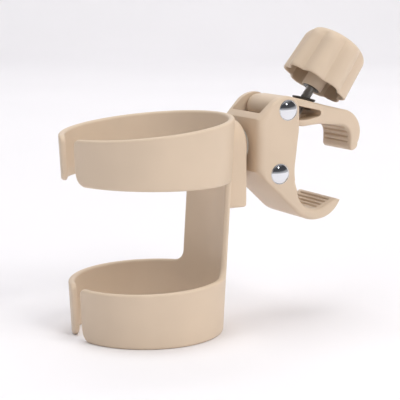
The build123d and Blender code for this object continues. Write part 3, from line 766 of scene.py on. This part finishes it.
def build_rivets():
    """Domed rivet heads, each with a fine step round its rim."""
    rise = (DOME_R ** 2 - DOME_HIGH ** 2) / (2 * DOME_HIGH)
    ball = rise + DOME_HIGH
    for pin, name in ((JAW_PIN, "upper_rivet"), (BOLT_PIN, "lower_rivet")):
        for side, node in ((-1, name), (1, name + "_cap")):
            reach = 2 * HALF_WIDTH - 2.0 if side < 0 else 1.9
            profile = [(POLE, -reach), (PIN_R, -reach), (PIN_R, 0.0), (5.1, 0.0), (5.2, 0.05),
                       (5.2, 0.2), (5.05, 0.26), (4.9, 0.2), (4.82, 0.3)]
            dome = math.asin(4.75 / ball)
            for k in range(15):
                turn = dome * (1 - k / 14)
                profile.append((max(POLE, ball * math.sin(turn)), ball * math.cos(turn) - rise))

            def place(a, b, h, pin=pin, side=side):
                """A point of the head, h out from the clamp's side."""
                return (pin[0] + a, side * (HALF_WIDTH + h), pin[1] + b)
            head = lathe(node + "_head", profile, place)
            finish_piece(head, "clamp", [node], "chrome", 40.0)


def build_washer():
    """The dished washer under the knob, with its flat on the jaw's top and its rim raised."""
    fall = (JAW_TOP[0][1] - JAW_TOP[1][1]) / (JAW_TOP[1][0] - JAW_TOP[0][0])
    at = ((JAW_TOP[0][1] - BOLT_PIN[1] + fall * (JAW_TOP[0][0] - BOLT_PIN[0]))
          / (BOLT_DIR.z + fall * BOLT_DIR.x))
    seat = Vector((BOLT_PIN[0], 0, BOLT_PIN[1])) + at * BOLT_DIR
    normal = Vector((fall, 0, 1)).normalized()
    along = Vector((normal.z, 0, -normal.x))
    profile = [(3.5, 0.15), (3.62, 0.0), (4.3, 0.0), (4.5, 0.07), (5.95, 0.94), (6.06, 1.05),
               (6.1, 1.2), (6.1, 1.6), (6.02, 1.74), (5.9, 1.7), (4.4, 0.84), (4.2, 0.78), (3.62, 0.78),
               (3.5, 0.65)]

    def place(a, b, h):
        return tuple(seat + a * along + Vector((0, b, 0)) + h * normal)
    washer = lathe("washer", profile + profile[:1], place, cap=False)
    finish_piece(washer, "jaw", ["jaw_washer"], "dark_steel", 40.0)


build_cup_frame()
build_housing()
build_upper_jaw()
build_knob()
build_bolt()
build_rivets()
build_washer()


# ================================ stage, lights and camera ======================================
low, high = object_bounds()
centre = Vector(((low[0] + high[0]) / 2, 0.0, (low[2] + high[2]) / 2))
AZIMUTH, ELEVATION = -28.21, 9.57       # the camera as seen from the part, in degrees
DISTANCE, LENS, SENSOR = 0.6389, 116.6, 36.0
AIM = Vector((0.02314, -0.01241, 0.06574))
WORLD_STRENGTH = 0.62
SPARK_SIZE = 0.5                        # lights smaller than this show as highlights in chrome
PAPER = (0.90, 0.885, 0.905)


def stage_material(name, colour):
    """Plain matt backdrop paper, very slightly uneven."""
    mat, tree, shader, coords = material(name)
    shaded = tuple(c * 0.985 for c in colour)
    paper = ramp(tree, noise(tree, coords, 3.0, 2.0), [(0.3, shaded), (0.7, colour)])
    tree.links.new(paper, shader.inputs["Base Color"])
    shader.inputs["Roughness"].default_value = 0.9
    return mat


def backdrop(z):
    """A floor that curves up into a wall behind the object, along the camera's direction."""
    radius, depth, width, height = 0.9, 2.2, 9.0, 6.0
    profile = [(-3.0, 0.0)] + [
        (depth + radius * math.sin(math.radians(a)), radius * (1 - math.cos(math.radians(a))))
        for a in range(0, 91, 6)] + [(depth + radius, height)]
    verts, faces = [], []
    for run, rise in profile:
        for side in (-width / 2, width / 2):
            verts.append((side, run, z + rise))
    for i in range(len(profile) - 1):
        faces.append((2 * i, 2 * i + 1, 2 * i + 3, 2 * i + 2))
    mesh = bpy.data.meshes.new("backdrop")
    mesh.from_pydata(verts, [], faces)
    for polygon in mesh.polygons:
        polygon.use_smooth = True
    obj = bpy.data.objects.new("backdrop", mesh)
    obj.rotation_euler = (0, 0, math.radians(AZIMUTH))
    obj.location = (centre.x, 0, 0)
    bpy.context.scene.collection.objects.link(obj)
    obj.data.materials.append(stage_material("paper", PAPER))


def place_camera():
    """The camera, at its viewing angle and distance from AIM and turned to it."""
    data = bpy.data.cameras.new("camera")
    data.lens = LENS
    data.sensor_width = SENSOR
    data.clip_start = 0.01
    obj = bpy.data.objects.new("camera", data)
    azimuth, elevation = math.radians(AZIMUTH), math.radians(ELEVATION)
    towards = Vector((-math.sin(azimuth) * math.cos(elevation),
                      math.cos(azimuth) * math.cos(elevation), -math.sin(elevation)))
    obj.location = AIM - DISTANCE * towards
    obj.rotation_euler = towards.to_track_quat("-Z", "Y").to_euler()
    bpy.context.scene.collection.objects.link(obj)
    bpy.context.scene.camera = obj


def area_light(name, place, size, power, colour=(1, 1, 1), aim=None):
    """A square soft box turned to the object or to aim; only the small one shows in chrome."""
    data = bpy.data.lights.new(name, "AREA")
    data.size = size
    data.energy = power
    data.color = colour
    obj = bpy.data.objects.new(name, data)
    obj.location = place
    heading = Vector(aim or centre) - Vector(place)
    obj.rotation_euler = heading.to_track_quat("-Z", "Y").to_euler()
    obj.visible_glossy = size < SPARK_SIZE
    bpy.context.scene.collection.objects.link(obj)


def studio_world():
    """Surroundings that are pale near the horizon and dark overhead, as chrome shows them."""
    world = bpy.data.worlds.new("studio")
    world.use_nodes = True
    tree = world.node_tree
    coords = tree.nodes.new("ShaderNodeTexCoord")
    split = tree.nodes.new("ShaderNodeSeparateXYZ")
    tree.links.new(coords.outputs["Generated"], split.inputs["Vector"])
    sky = ramp(tree, spread(tree, split.outputs["Z"], 0.5, 1.0),
               [(0.50, (0.92, 0.91, 0.94)), (0.56, (0.60, 0.595, 0.61)), (0.62, (0.13, 0.13, 0.14)),
                (0.80, (0.10, 0.10, 0.11)), (1.0, (0.75, 0.75, 0.76))])
    tree.links.new(sky, tree.nodes["Background"].inputs["Color"])
    tree.nodes["Background"].inputs["Strength"].default_value = WORLD_STRENGTH
    bpy.context.scene.world = world


backdrop(low[2])
place_camera()
studio_world()
area_light("key", (1.1, -2.7, 2.6), 2.0, 64.0, (1.0, 0.985, 0.96))
area_light("left", (-2.8, -0.9, 1.6), 2.2, 22.0, (0.98, 0.98, 1.0))
area_light("low", (1.9, -2.1, 0.35), 1.6, 20.0)
area_light("wall", (0.65, 1.15, 2.3), 1.6, 9.0, aim=(1.5, 2.8, 0.9))
area_light("top", (0.1, 0.5, 3.2), 2.6, 56.0)
area_light("spark", (0.35, -1.3, 1.15), 0.16, 0.9)
bpy.context.scene.view_settings.view_transform = "Standard"
